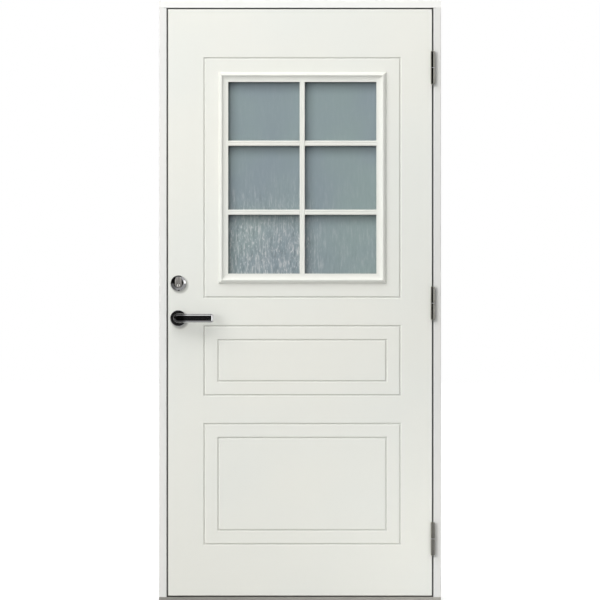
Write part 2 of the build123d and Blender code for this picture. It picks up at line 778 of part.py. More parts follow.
def moulding_section(leg_depth):
    """The moulding's section: local x runs outwards from the sight edge, local y off the leaf."""
    crest_end = MOULDING_CREST + MOULDING_CREST_WIDTH
    with BuildLine() as outline:
        Polyline((0, -leg_depth), (0, MOULDING_LIP_HEIGHT), (MOULDING_LIP, MOULDING_LIP_HEIGHT))
        Spline(
            (MOULDING_LIP, MOULDING_LIP_HEIGHT),
            (MOULDING_CREST, MOULDING_HEIGHT),
            tangents=[COVE_START, COVE_END],
        )
        Line((MOULDING_CREST, MOULDING_HEIGHT), (crest_end, MOULDING_HEIGHT))
        Spline(
            (crest_end, MOULDING_HEIGHT),
            (MOULDING_WIDTH, MOULDING_EDGE),
            tangents=[SLOPE_START, SLOPE_END],
        )
        Polyline(
            (MOULDING_WIDTH, MOULDING_EDGE),
            (MOULDING_WIDTH, 0),
            (moulding_leg, 0),
            (moulding_leg, -leg_depth),
            (0, -leg_depth),
        )
    make_face(outline.edges())


def moulding(direction, length, face_y, outward, leg_depth):
    """One mitred length: direction points from the window's middle to this side."""
    vertical = direction[2] != 0
    reach = sight_height / 2 if vertical else sight_width / 2
    along = sight_width / 2 if vertical else sight_height / 2
    middle = Vector(field_middle, face_y, window_z) + Vector(direction) * reach
    with BuildPart() as stick:
        with BuildSketch(section_plane(middle, direction, (0, outward, 0))) as section:
            moulding_section(leg_depth)
        extrude(amount=length / 2, both=True)
        mitre_plane = Plane((field_middle, face_y, window_z), x_dir=(1, 0, 0), z_dir=(0, -1, 0))
        inner = along - MITRE_JOINT / 2
        outer = inner + MOULDING_WIDTH
        ends = [
            (-inner, reach),
            (-outer, reach + MOULDING_WIDTH),
            (outer, reach + MOULDING_WIDTH),
            (inner, reach),
        ]
        turn = {(0, 0, 1): 0, (-1, 0, 0): 90, (0, 0, -1): 180, (1, 0, 0): 270}[direction]
        with BuildSketch(mitre_plane) as mitre:
            with Locations(Location((0, 0, 0), (0, 0, turn))):
                Polygon(*ends, align=None)
        extrude(amount=MOULDING_HEIGHT + leg_depth, both=True, mode=Mode.INTERSECT)
    return stick.part


moulding_sides = {
    "top": ((0, 0, 1), window_width),
    "bottom": ((0, 0, -1), window_width),
    "left": ((-1, 0, 0), window_height),
    "right": ((1, 0, 0), window_height),
}
for name, (direction, length) in moulding_sides.items():
    with BuildPart() as outer_moulding:
        add(moulding(direction, length, leaf_front, -1, GLASS_SETBACK))
    outer_moulding.part.label = f"outer_moulding_{name}"
    export_step(outer_moulding.part, f"parts/outer_moulding_{name}.step")

with BuildPart() as inner_mouldings:
    for direction, length in moulding_sides.values():
        add(moulding(direction, length, leaf_back, 1, leaf_back - glass_back))
inner_mouldings.part.label = "inner_mouldings"
export_step(inner_mouldings.part, "parts/inner_mouldings.step")


# Window: glazing bars, half-lapped where they cross

bar_front = leaf_front - MOULDING_LIP_HEIGHT
bar_depth = glass_front - bar_front
bar_pitch = BAR_PITCH_SHARE * sight_height
bar_heights = [window_z - bar_pitch / 2, window_z + bar_pitch / 2]


def glazing_bar(plane, length):
    """A bar along the plane's normal, its local y running off the glass."""
    with BuildPart() as bar:
        with BuildSketch(plane) as section:
            with Locations((0, bar_depth / 2)):
                Rectangle(BAR_WIDTH, bar_depth)
            chamfer(section.vertices().group_by(Axis.Y)[-1], BAR_BEVEL)
            half = BAR_GROOVE / 2
            Polygon((-half, bar_depth), (0, bar_depth - BAR_GROOVE_DEPTH), (half, bar_depth),
                    align=None, mode=Mode.SUBTRACT)
        extrude(amount=length / 2, both=True)
    return bar.part


with BuildPart() as glazing_bar_upright:
    upright_plane = section_plane((field_middle, glass_front, window_z), (1, 0, 0), (0, -1, 0))
    add(glazing_bar(upright_plane, sight_height))
    for z in bar_heights:
        block(
            (field_middle - BAR_WIDTH / 2, field_middle + BAR_WIDTH / 2),
            (glass_front - bar_depth / 2, glass_front),
            (z - BAR_WIDTH / 2, z + BAR_WIDTH / 2),
            mode=Mode.SUBTRACT,
        )
glazing_bar_upright.part.label = "glazing_bar_upright"
export_step(glazing_bar_upright.part, "parts/glazing_bar_upright.step")

for name, z in zip(("lower", "upper"), bar_heights):
    with BuildPart() as cross_bar:
        cross_plane = section_plane((field_middle, glass_front, z), (0, 0, 1), (0, -1, 0))
        add(glazing_bar(cross_plane, sight_width))
        block(
            (field_middle - BAR_WIDTH / 2, field_middle + BAR_WIDTH / 2),
            (bar_front, glass_front - bar_depth / 2),
            (z - BAR_WIDTH / 2, z + BAR_WIDTH / 2),
            mode=Mode.SUBTRACT,
        )
    cross_bar.part.label = f"glazing_bar_{name}"
    export_step(cross_bar.part, f"parts/glazing_bar_{name}.step")


# Lock case

with BuildPart() as lock_case:
    block((case_front, case_end), (case_y[0], case_y[1] - CASE_WALL), case_z)
    block(
        (case_front, case_end - CASE_WALL),
        (case_y[0] + CASE_WALL, case_y[1] - CASE_WALL),
        (case_z[0] + CASE_WALL, case_z[1] - CASE_WALL),
        mode=Mode.SUBTRACT,
    )
    for z, boss in ((HANDLE_HEIGHT, FOLLOWER_BOSS), (turner_z, CAM_BOSS)):
        bore_along_y(lock_x, z, boss / 2 + FIT_GAP, case_y[0], leaf_middle, Mode.SUBTRACT)
lock_case.part.label = "lock_case"
export_step(lock_case.part, "parts/lock_case.step")

with BuildPart() as lock_case_cover:
    block((case_front, case_end), (case_y[1] - CASE_WALL, case_y[1]), case_z)
    for z, boss in ((HANDLE_HEIGHT, FOLLOWER_BOSS), (turner_z, CAM_BOSS)):
        bore_along_y(lock_x, z, boss / 2 + FIT_GAP, leaf_middle, case_y[1], Mode.SUBTRACT)
lock_case_cover.part.label = "lock_case_cover"
export_step(lock_case_cover.part, "parts/lock_case_cover.step")

with BuildPart() as lock_forend:
    add(edge_plate(-leaf_x, FOREND_WIDTH, FOREND_THICKNESS))
    for low, high in (latch_z, deadbolt_z):
        block(
            (-leaf_x, case_front),
            (bolt_y[0] - BOLT_GAP, bolt_y[1] + BOLT_GAP),
            (low - BOLT_GAP, high + BOLT_GAP),
            mode=Mode.SUBTRACT,
        )
    screw_holes(forend_screws_at)
lock_forend.part.label = "lock_forend"
export_step(lock_forend.part, "parts/lock_forend.step")

with BuildPart() as forend_screws:
    countersunk_screws(forend_screws_at)
forend_screws.part.label = "forend_screws"
export_step(forend_screws.part, "parts/forend_screws.step")


# Latch bolt, its tail passing over the follower to a lug in front of the follower's arm

arm_low = HANDLE_HEIGHT + FOLLOWER_HUB / 2 + 2 * BOLT_GAP
arm_high = HANDLE_HEIGHT + FOLLOWER_REACH
lug_x = lock_x + FOLLOWER_ARM / 2 + LATCH_LUG_SPACE

with BuildPart() as latch_bolt:
    with BuildSketch(Plane.XY.offset(latch_z[0])) as latch_plan:
        Polygon(
            (latch_tip + LATCH_LENGTH, bolt_y[0]),
            (latch_tip, bolt_y[0]),
            (latch_tip, bolt_y[0] + LATCH_NOSE),
            (latch_tip + LATCH_THROW, bolt_y[1]),
            (latch_tip + LATCH_LENGTH, bolt_y[1]),
            align=None,
        )
    extrude(amount=LATCH_HEIGHT)
    block((latch_tip + LATCH_LENGTH - LATCH_NOSE, lug_x + LATCH_LUG), tail_y, (arm_low, arm_high))
    block((lug_x, lug_x + LATCH_LUG), (leaf_middle - TAIL_THICKNESS, tail_y[1]), (arm_low, arm_high))
latch_bolt.part.label = "latch_bolt"
export_step(latch_bolt.part, "parts/latch_bolt.step")


# Deadbolt, its tail ending in a fork round the cam's pin

fork_x = lock_x + DEADBOLT_THROW / 2
fork_slot = CAM_PIN + 2 * FORK_PLAY
fork_half = fork_slot / 2 + FORK_PRONG
deadbolt_back = deadbolt_tip + DEADBOLT_THROW + DEADBOLT_GUIDE
fork_low = turner_z + CAM_BOSS / 2 + BOLT_GAP
fork_top = turner_z + cam_radius + CAM_PIN / 2 + FORK_PLAY

with BuildPart() as deadbolt:
    block((deadbolt_tip, deadbolt_back), bolt_y, deadbolt_z)
    block((deadbolt_back - FORK_PRONG, fork_x + fork_half), tail_y, (fork_low, fork_top + FORK_PRONG))
    block(
        (fork_x - fork_slot / 2, fork_x + fork_slot / 2),
        tail_y,
        (fork_low, fork_top),
        mode=Mode.SUBTRACT,
    )
deadbolt.part.label = "deadbolt"
export_step(deadbolt.part, "parts/deadbolt.step")


# Cam, key plug and thumbturn turn together

cam_y = (tail_y[0] - BOLT_GAP - CAM_THICKNESS, tail_y[0] - BOLT_GAP)
pin_at = (lock_x + cam_radius * cos(radians(CAM_ANGLE)), turner_z + cam_radius * sin(radians(CAM_ANGLE)))

with BuildPart() as bolt_cam:
    bore_along_y(lock_x, turner_z, CAM_BOSS / 2, case_y[0], case_y[1])
    with BuildSketch(depth_plane(cam_y[0])) as arm_face:
        with Locations(((lock_x + pin_at[0]) / 2, (turner_z + pin_at[1]) / 2)):
            SlotCenterToCenter(cam_radius, CAM_ARM, rotation=CAM_ANGLE)
    extrude(amount=cam_y[0] - cam_y[1])
    bore_along_y(pin_at[0], pin_at[1], CAM_PIN / 2, cam_y[1], tail_y[1])
    bore_along_y(lock_x, turner_z, TURNER_SHAFT / 2 + RUNNING_GAP, case_y[0], case_y[1], Mode.SUBTRACT)
bolt_cam.part.label = "bolt_cam"
export_step(bolt_cam.part, "parts/bolt_cam.step")

oval_front = leaf_front - OVAL_PROUD

with BuildPart() as cylinder_body:
    with BuildSketch(depth_plane(oval_front)) as oval_face:
        with Locations((lock_x, cylinder_z)):
            SlotOverall(OVAL_HEIGHT, OVAL_WIDTH, rotation=90)
        with Locations((lock_x, turner_z)):
            Circle(PLUG / 2 + FIT_GAP, mode=Mode.SUBTRACT)
    extrude(amount=oval_front - case_y[0])
    chamfer(cylinder_body.faces().sort_by(Axis.Y)[0].edges(), OVAL_BEVEL)
cylinder_body.part.label = "cylinder_body"
export_step(cylinder_body.part, "parts/cylinder_body.step")

with BuildPart() as key_plug:
    bore_along_y(lock_x, turner_z, PLUG / 2, oval_front, case_y[0] - MOVING_GAP)
    chamfer(key_plug.faces().sort_by(Axis.Y)[0].edges(), OVAL_BEVEL)
    bore_along_y(lock_x, turner_z, TURNER_SHAFT / 2, case_y[0] - MOVING_GAP, leaf_middle - MOVING_GAP)
    with BuildSketch(depth_plane(oval_front)) as keyway:
        with Locations((lock_x, turner_z)):
            Rectangle(KEYWAY_WIDTH, KEYWAY_HEIGHT)
    extrude(amount=-KEYWAY_DEPTH, mode=Mode.SUBTRACT)
key_plug.part.label = "key_plug"
export_step(key_plug.part, "parts/key_plug.step")

with BuildPart() as cylinder_ring:
    with BuildSketch(Plane.XY.offset(ring_z)) as ring_profile:
        with BuildLine() as ring_line:
            Polyline(
                (lock_x, leaf_front),
                (lock_x + RING / 2, leaf_front),
                (lock_x + RING / 2, leaf_front - RING_EDGE),
            )
            RadiusArc(
                (lock_x + RING / 2, leaf_front - RING_EDGE),
                (lock_x + RING_MOUTH / 2, leaf_front - RING_HEIGHT),
                RING_CROWN,
            )
            Polyline(
                (lock_x + RING_MOUTH / 2, leaf_front - RING_HEIGHT),
                (lock_x + RING_MOUTH / 2, leaf_front - RING_FLOOR),
                (lock_x, leaf_front - RING_FLOOR),
                (lock_x, leaf_front),
            )
        make_face()
    revolve(axis=Axis((lock_x, 0, ring_z), (0, 1, 0)))
    with BuildSketch(depth_plane(leaf_front)) as oval_clearance:
        with Locations((lock_x, cylinder_z)):
            SlotOverall(OVAL_HEIGHT + 2 * FIT_GAP, OVAL_WIDTH + 2 * FIT_GAP, rotation=90)
    extrude(amount=RING_HEIGHT, mode=Mode.SUBTRACT)
cylinder_ring.part.label = "cylinder_ring"
export_step(cylinder_ring.part, "parts/cylinder_ring.step")


def rose(diameter, bore, z, face_y, outward):
    """A round plate with a rounded front edge and a bore, on the leaf's outer or inner face."""
    with BuildPart() as plate:
        bore_plane = Plane((lock_x, face_y, z), x_dir=(1, 0, 0), z_dir=(0, outward, 0))
        with BuildSketch(bore_plane) as plate_face:
            Circle(diameter / 2)
        extrude(amount=ROSETTE_HEIGHT)
        front = plate.faces().sort_by(Axis.Y)[0 if outward < 0 else -1]
        fillet(front.edges(), ROSETTE_ROUND)
        with BuildSketch(bore_plane) as bore_face:
            Circle(bore / 2)
        extrude(amount=ROSETTE_HEIGHT, mode=Mode.SUBTRACT)
    return plate.part


for name, diameter, bore, z, face_y, outward in (
    ("outer_rosette", ROSETTE, LEVER_NECK, HANDLE_HEIGHT, leaf_front, -1),
    ("inner_rosette", INNER_ROSETTE, LEVER_NECK, HANDLE_HEIGHT, leaf_back, 1),
    ("thumbturn_rose", TURN_ROSE, TURN_NECK, turner_z, leaf_back, 1),
):
    with BuildPart() as round_plate:
        add(rose(diameter, bore + 2 * MOVING_GAP, z, face_y, outward))
    round_plate.part.label = name
    export_step(round_plate.part, f"parts/{name}.step")

grip_start = leaf_back + TURN_NECK_LENGTH

with BuildPart() as thumbturn:
    with BuildSketch(depth_plane(grip_start + TURN_GRIP_DEPTH)) as grip_face:
        with Locations((lock_x, turner_z)):
            SlotOverall(TURN_GRIP_LENGTH, TURN_GRIP_WIDTH, rotation=90)
    extrude(amount=TURN_GRIP_DEPTH)
    fillet(thumbturn.faces().sort_by(Axis.Y)[-1].edges(), TURN_GRIP_ROUND)
    bore_along_y(lock_x, turner_z, TURN_NECK / 2, leaf_back + MOVING_GAP, grip_start)
    bore_along_y(lock_x, turner_z, TURNER_SHAFT / 2, leaf_middle + MOVING_GAP, leaf_back + MOVING_GAP)
thumbturn.part.label = "thumbturn"
export_step(thumbturn.part, "parts/thumbturn.step")


# Follower, spindle and levers turn together

spindle_half = SPINDLE / 2 + RUNNING_GAP

with BuildPart() as follower:
    hub_y = (case_y[0] + CASE_WALL + BOLT_GAP, case_y[1] - CASE_WALL - BOLT_GAP)
    arm_y = (leaf_middle - TAIL_THICKNESS, tail_y[0] - BOLT_GAP)
    bore_along_y(lock_x, HANDLE_HEIGHT, FOLLOWER_HUB / 2, *hub_y)
    bore_along_y(lock_x, HANDLE_HEIGHT, FOLLOWER_BOSS / 2, *case_y)
    block(
        (lock_x - FOLLOWER_ARM / 2, lock_x + FOLLOWER_ARM / 2),
        arm_y,
        (HANDLE_HEIGHT + SPINDLE / 2 + BORE_GAP, HANDLE_HEIGHT + FOLLOWER_REACH),
    )
    block(
        (lock_x - spindle_half, lock_x + spindle_half),
        case_y,
        (HANDLE_HEIGHT - spindle_half, HANDLE_HEIGHT + spindle_half),
        mode=Mode.SUBTRACT,
    )
follower.part.label = "follower"
export_step(follower.part, "parts/follower.step")

with BuildPart() as spindle:
    block(
        (lock_x - SPINDLE / 2, lock_x + SPINDLE / 2),
        (leaf_front - SPINDLE_GRIP, leaf_back + SPINDLE_GRIP),
        (HANDLE_HEIGHT - SPINDLE / 2, HANDLE_HEIGHT + SPINDLE / 2),
    )
spindle.part.label = "spindle"
export_step(spindle.part, "parts/spindle.step")

grip_front = leaf_front - LEVER_PROJECTION
grip_back = grip_front + LEVER_THICKNESS
lever_tip = lock_x + LEVER_LENGTH

with BuildPart() as lever_outer:
    with BuildSketch(Plane.XY.offset(HANDLE_HEIGHT - LEVER_HEIGHT / 2)) as lever_plan:
        Polygon(
            (lock_x - LEVER_HEIGHT / 2, grip_front),
            (lever_tip, grip_front),
            (lever_tip, grip_front + LEVER_RETURN),
            (lever_tip - LEVER_THICKNESS, grip_front + LEVER_RETURN),
            (lever_tip - LEVER_THICKNESS, grip_back),
            (lock_x - LEVER_HEIGHT / 2, grip_back),
            align=None,
        )
        for x, radius in ((lever_tip - LEVER_THICKNESS, LEVER_INNER_BEND), (lever_tip, LEVER_BEND)):
            corners = lever_plan.vertices().filter_by_position(Axis.X, x - PICK_MARGIN, x + PICK_MARGIN)
            fillet(corners.sort_by(Axis.Y)[0], radius)
    extrude(amount=LEVER_HEIGHT)
    with BuildSketch(depth_plane(grip_front)) as lever_outline:
        with Locations((lock_x, HANDLE_HEIGHT)):
            Circle(LEVER_HEIGHT / 2)
        with Locations(((lock_x + lever_tip) / 2, HANDLE_HEIGHT)):
            Rectangle(LEVER_LENGTH, LEVER_HEIGHT)
    extrude(amount=-LEVER_RETURN, mode=Mode.INTERSECT)
    bend_seams = lever_outer.edges().filter_by(Axis.Z).filter_by_position(
        Axis.Y, grip_front - PICK_MARGIN, grip_front + LEVER_RETURN - PICK_MARGIN
    )
    fillet(lever_outer.edges() - bend_seams, LEVER_ROUND)
    bore_along_y(lock_x, HANDLE_HEIGHT, LEVER_NECK / 2, grip_back - LEVER_ROUND, leaf_front - MOVING_GAP)
    block(
        (lock_x - spindle_half, lock_x + spindle_half),
        (leaf_front - SPINDLE_GRIP - BORE_GAP, leaf_front),
        (HANDLE_HEIGHT - spindle_half, HANDLE_HEIGHT + spindle_half),
        mode=Mode.SUBTRACT,
    )
lever_outer.part.label = "lever_outer"
export_step(lever_outer.part, "parts/lever_outer.step")

with BuildPart() as lever_inner:
    mirror(lever_outer.part, about=depth_plane(leaf_middle))
lever_inner.part.label = "lever_inner"
export_step(lever_inner.part, "parts/lever_inner.step")
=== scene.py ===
"""Looks for a painted front door in its frame: paint, obscure glass, plated hardware and a studio."""

import math

import bmesh
import bpy
from mathutils import Matrix, Vector, noise


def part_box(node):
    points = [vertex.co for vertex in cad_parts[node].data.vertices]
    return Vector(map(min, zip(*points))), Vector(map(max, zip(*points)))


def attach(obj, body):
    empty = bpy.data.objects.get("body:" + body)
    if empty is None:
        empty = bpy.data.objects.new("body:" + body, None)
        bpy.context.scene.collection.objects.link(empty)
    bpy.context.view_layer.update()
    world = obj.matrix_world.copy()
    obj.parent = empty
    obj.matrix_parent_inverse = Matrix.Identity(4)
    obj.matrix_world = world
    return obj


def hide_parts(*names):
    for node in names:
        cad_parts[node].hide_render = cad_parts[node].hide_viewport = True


bl_info = {
    "name": "Front Door Looks",
    "version": (1, 0, 0),
    "blender": (4, 5, 0),
    "location": "View3D > Sidebar > Door",
    "description": "Finishes for a glazed front door, its hardware and its studio",
    "category": "Object",
}

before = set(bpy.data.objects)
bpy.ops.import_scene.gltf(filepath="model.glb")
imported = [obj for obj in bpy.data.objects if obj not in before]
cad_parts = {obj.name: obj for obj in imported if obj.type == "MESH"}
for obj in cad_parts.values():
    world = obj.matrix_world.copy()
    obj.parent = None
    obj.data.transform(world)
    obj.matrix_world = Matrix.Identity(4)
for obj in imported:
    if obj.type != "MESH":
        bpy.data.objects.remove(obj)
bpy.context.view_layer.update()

LEAF_WOOD = [
    "outer_skin", "inner_skin", "lock_stile", "lock_block", "hinge_stile", "top_rail", "bottom_rail",
    "outer_moulding_top", "outer_moulding_bottom", "outer_moulding_left", "outer_moulding_right",
    "inner_mouldings", "glazing_bar_upright", "glazing_bar_lower", "glazing_bar_upper",
]
TIMBER = ["window_rails", "window_posts"]
SEALS = ["frame_gasket", "threshold_gasket"]
CHROME = ["lever_inner", "outer_rosette", "inner_rosette", "thumbturn_rose", "thumbturn"]
HINGES = [
    "hinge_bottom_frame_half", "hinge_middle_frame_half", "hinge_top_frame_half",
    "hinge_bottom_leaf_half", "hinge_middle_leaf_half", "hinge_top_leaf_half",
]
SATIN_METAL = ["strike_plate", "lock_forend", "latch_bolt", "deadbolt"]
PLATED_STEEL = [
    "hinge_pins", "hinge_washers", "spindle", "follower", "lock_case", "lock_case_cover", "bolt_cam",
]
SCREWS = {
    "hinge_frame_screws": "frame", "strike_screws": "frame",
    "hinge_leaf_screws": "leaf", "forend_screws": "leaf",
}

# Places in metres. Each pair is where a soft step begins and ends.

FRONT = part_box("frame_head")[0].y
CYLINDER_Z = (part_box("cylinder_body")[0].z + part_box("cylinder_body")[1].z) / 2

# The rebate behind the gap, with its painted shade, at the sides and at the top, and the frame's faces
# beyond it
GAP_SIDE = (0.452, 0.456)
GAP_TOP = (2.052, 2.056)
FACE_SIDE = (0.47, 0.475)
FACE_TOP = (2.07, 2.075)

# The milled grooves: the field that holds them, and how deep the painted shade in their bottoms lies
GROOVE_FIELD = (0.43, 0.42)
GROOVE_DEPTH = (FRONT + 0.0006, FRONT + 0.0024)
GROOVE_BOTTOM = (FRONT + 0.0035, FRONT + 0.0032)

# The window's lights, by their top and left edges, and where their ripples are strong
LIGHT_HEADS = ("glazing_bar_lower", "glazing_bar_upper", "outer_moulding_top")
LIGHT_TOPS = [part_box(name)[0].z for name in LIGHT_HEADS]
LIGHT_LEFTS = [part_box(name)[1].x for name in ("outer_moulding_left", "glazing_bar_upright")]
WET_HEIGHT = (LIGHT_TOPS[1] - 0.05, LIGHT_TOPS[0] - 0.12)
WET_SIDE = (LIGHT_LEFTS[1] + 0.08, LIGHT_LEFTS[1] - 0.02)


# Shader maths


class Value:
    """A node's output, so that node arithmetic reads as an expression."""

    def __init__(self, graph, socket):
        self.graph = graph
        self.socket = socket

    def _math(self, operation, *others):
        inputs = {index: other for index, other in enumerate((self, *others))}
        return self.graph.node("ShaderNodeMath", {"operation": operation}, inputs)["Value"]

    def __add__(self, other):
        return self._math("ADD", other)

    __radd__ = __add__

    def __sub__(self, other):
        return self._math("SUBTRACT", other)

    def __rsub__(self, other):
        return self.graph.node("ShaderNodeMath", {"operation": "SUBTRACT"}, {0: other, 1: self})["Value"]

    def __mul__(self, other):
        return self._math("MULTIPLY", other)

    __rmul__ = __mul__

    def size(self):
        """The value without its sign."""
        return self._math("ABSOLUTE")

    def most(self, other):
        """The larger of the two."""
        return self._math("MAXIMUM", other)

    def smooth(self, low, high):
        """0 at low, 1 at high, with a soft step between, in either direction."""
        settings = {"interpolation_type": "SMOOTHSTEP"}
        return self.graph.node("ShaderNodeMapRange", settings, {0: self, 1: low, 2: high})["Result"]


class Graph:
    """The node tree of one material or world."""

    def __init__(self, tree):
        self.tree = tree
        tree.nodes.clear()

    def node(self, kind, settings=None, inputs=None):
        """Adds a node, sets it, then fills its sockets, and returns its outputs by name."""
        made = self.tree.nodes.new(kind)
        for name, value in (settings or {}).items():
            setattr(made, name, value)
        for key, value in (inputs or {}).items():
            socket = made.inputs[key]
            if isinstance(value, Value):
                self.tree.links.new(value.socket, socket)
            elif socket.type == "RGBA":
                socket.default_value = (*value, 1.0)
            else:
                socket.default_value = value
        return {out.name: Value(self, out) for out in made.outputs if out.enabled}

    def place(self, scale=(1, 1, 1)):
        """Object coordinates in metres, stretched by scale."""
        at = self.node("ShaderNodeTexCoord")["Object"]
        return self.node("ShaderNodeMapping", {}, {"Vector": at, "Scale": scale})["Vector"]

    def axes(self):
        """The place in metres on each axis."""
        return self.node("ShaderNodeSeparateXYZ", {}, {"Vector": self.place()})

    def reach(self, centre):
        """How far a place is from centre, in metres."""
        settings = {"operation": "DISTANCE"}
        return self.node("ShaderNodeVectorMath", settings, {0: self.place(), 1: centre})["Value"]

    def cloud(self, scale, stretch=(1, 1, 1), detail=3.0, roughness=0.5):
        """Smooth noise from 0 to 1, with scale in repeats a metre."""
        inputs = {"Vector": self.place(stretch), "Scale": scale, "Detail": detail, "Roughness": roughness}
        return self.node("ShaderNodeTexNoise", {}, inputs)["Fac"]

    def mix(self, factor, first, second):
        """A colour between first and second."""
        inputs = {0: factor, 6: first, 7: second}
        return self.node("ShaderNodeMix", {"data_type": "RGBA"}, inputs)["Result"]

    def bump(self, height, distance, strength=1.0):
        """A normal from a height between 0 and 1, with distance in metres."""
        inputs = {"Height": height, "Distance": distance, "Strength": strength}
        return self.node("ShaderNodeBump", {}, inputs)["Normal"]

    def rays(self):
        """Rays that are seen, also through glass, and rays that are reflected."""
        path = self.node("ShaderNodeLightPath")
        seen = path["Is Camera Ray"] + path["Is Transmission Ray"]
        return seen, path["Is Glossy Ray"] * (1.0 - seen)

    def surface(self, **sockets):
        """The Principled shader on the material's output, its sockets given by name."""
        inputs = {name.replace("_", " "): value for name, value in sockets.items()}
        shader = self.node("ShaderNodeBsdfPrincipled", {}, inputs)["BSDF"]
        self.node("ShaderNodeOutputMaterial", {}, {"Surface": shader})


def material(name):
    """A new material with an empty graph."""
    made = bpy.data.materials.new(name)
    made.use_nodes = True
    return made, Graph(made.node_tree)


def scaled(colour, share):
    """A colour with each channel multiplied by share."""
    return tuple(channel * share for channel in colour)


def satin_paint(name, colour, tint, gap_shade, rings=(), stripes=()):
    """Sprayed satin paint: orange peel, soft drifts of tone, and painted shade in the gap and in the
    grooves.

    The drifts are the colour times tint. Rings (x, z, radius) and stripes (x, low z, high z) are painted
    contact shadows beside the hardware.
    """
    made, graph = material(name)
    dark = scaled(colour, 0.3)
    drift = graph.cloud(1.7, detail=2.0)
    flecks = graph.cloud(160.0, detail=4.0, roughness=0.6)
    tinted = tuple(channel * factor for channel, factor in zip(colour, tint))
    tone = graph.mix(drift.smooth(0.35, 0.7), colour, tinted)
    tone = graph.mix(flecks.smooth(0.62, 0.8) * 0.25, tone, scaled(colour, 0.96))

    at = graph.axes()
    facing = graph.node("ShaderNodeNewGeometry")["Normal"]
    facing = graph.node("ShaderNodeSeparateXYZ", {}, {"Vector": facing})["Y"]
    # Painted shade on the leaf's edges and the rebate walls in the gap, at the given strength
    gap = at["X"].size().smooth(*GAP_SIDE).most(at["Z"].smooth(*GAP_TOP) * 0.87)
    face = at["X"].size().smooth(*FACE_SIDE).most(at["Z"].smooth(*FACE_TOP))
    sideways = 1.0 - facing.size().smooth(0.7, 0.9)
    tone = graph.mix(gap * (1.0 - face) * sideways * gap_shade, tone, scaled(colour, 0.06))

    # Painted shade in the bottoms of the milled grooves
    grooved = at["X"].size().smooth(*GROOVE_FIELD) * at["Y"].smooth(*GROOVE_BOTTOM)
    tone = graph.mix(at["Y"].smooth(*GROOVE_DEPTH) * grooved * 0.28, tone, dark)

    # Painted contact shadows beside the round plates and the hinges
    dust_and_shadow = 0.0
    for x, z, radius in rings:
        dust_and_shadow = graph.reach((x, FRONT, z)).smooth(radius + 0.007, radius - 0.002) * 0.55 + dust_and_shadow
    for x, low, high in stripes:
        along = at["Z"].smooth(low - 0.004, low + 0.002) * at["Z"].smooth(high + 0.004, high - 0.002)
        dust_and_shadow = at["X"].smooth(x + 0.014, x) * along * 0.42 + dust_and_shadow
    if rings or stripes:
        tone = graph.mix(dust_and_shadow * at["Y"].smooth(FRONT + 0.003, FRONT + 0.001), tone, dark)

    peel = graph.cloud(420.0, detail=2.0)
    rough = 0.34 + 0.1 * graph.cloud(9.0, detail=3.0)
    graph.surface(Base_Color=tone, Roughness=rough, Normal=graph.bump(peel, 0.00012, 0.5))
    return made


def wood(name, pale, dark, rings, along="z"):
    """Planed timber with stretched growth rings and pores."""
    made, graph = material(name)
    stretch = {"x": (0.05, 1, 1), "z": (1, 1, 0.05)}[along]
    grain = graph.cloud(rings, stretch, detail=5.0, roughness=0.65)
    pores = graph.cloud(rings * 9, stretch, detail=2.0)
    tone = graph.mix(grain.smooth(0.3, 0.72), pale, dark)
    tone = graph.mix(pores.smooth(0.58, 0.75) * 0.35, tone, scaled(dark, 0.6))
    graph.surface(Base_Color=tone, Roughness=0.5 + 0.2 * grain, Normal=graph.bump(pores, 0.0002, 0.6))
    return made


def brushed_metal(name, colour, base_roughness, stretch, metallic=0.85):
    """Metal with fine brushing along one axis and faint handling marks."""
    made, graph = material(name)
    lines = graph.cloud(900.0, stretch, detail=3.0)
    smears = graph.cloud(28.0, detail=4.0, roughness=0.6)
    tone = graph.mix(smears.smooth(0.4, 0.75), colour, scaled(colour, 0.86))
    rough = base_roughness + 0.08 * lines + 0.1 * smears.smooth(0.45, 0.8)
    graph.surface(Base_Color=tone, Roughness=rough, Metallic=metallic,
                  Normal=graph.bump(lines, 0.00003, 0.5))
    return made


def brushed_cylinder(name, colour):
    """Coarsely brushed metal, with upright streaks and a lighter head."""
    made, graph = material(name)
    streaks = graph.cloud(260.0, (1, 1, 0.06), detail=3.0, roughness=0.6)
    light = graph.axes()["Z"].smooth(CYLINDER_Z - 0.012, CYLINDER_Z + 0.016)
    tone = graph.mix(streaks.smooth(0.4, 0.62), scaled(colour, 0.45), colour)
    tone = graph.mix((1.0 - light) * 0.5, tone, scaled(colour, 0.3))
    graph.surface(Base_Color=tone, Roughness=0.34 + 0.1 * streaks, Metallic=0.5,
                  Normal=graph.bump(streaks, 0.0002, 0.6))
    return made


def key_brass(name, colour, face):
    """The plug of the lock: brushed across its face, with painted shade down the keyway."""
    made, graph = material(name)
    lines = graph.cloud(600.0, (0.1, 1, 1), detail=3.0)
    tone = graph.mix(lines.smooth(0.35, 0.7) * 0.4, colour, scaled(colour, 0.78))
    keyway_shade = graph.axes()["Y"].smooth(face + 0.0003, face + 0.0008)
    tone = graph.mix(keyway_shade * 0.95, tone, (0.015, 0.015, 0.015))
    graph.surface(Base_Color=tone, Roughness=0.28 + 0.1 * lines, Metallic=0.3,
                  Normal=graph.bump(lines, 0.00005))
    return made


def chrome_plate(name, colour, painted_shade=None):
    """Bright plating with barely visible wiping marks, darkened as painted shade where the given function
    says.
    """
    made, graph = material(name)
    wipes = graph.cloud(60.0, (1, 1, 0.35), detail=4.0, roughness=0.6)
    tone = graph.mix(wipes.smooth(0.5, 0.8) * 0.4, colour, scaled(colour, 0.9))
    if painted_shade:
        tone = graph.mix(painted_shade(graph) * 0.85, tone, scaled(colour, 0.08))
    rough = 0.05 + 0.07 * wipes.smooth(0.45, 0.85)
    graph.surface(Base_Color=tone, Roughness=rough, Metallic=1.0)
    return made


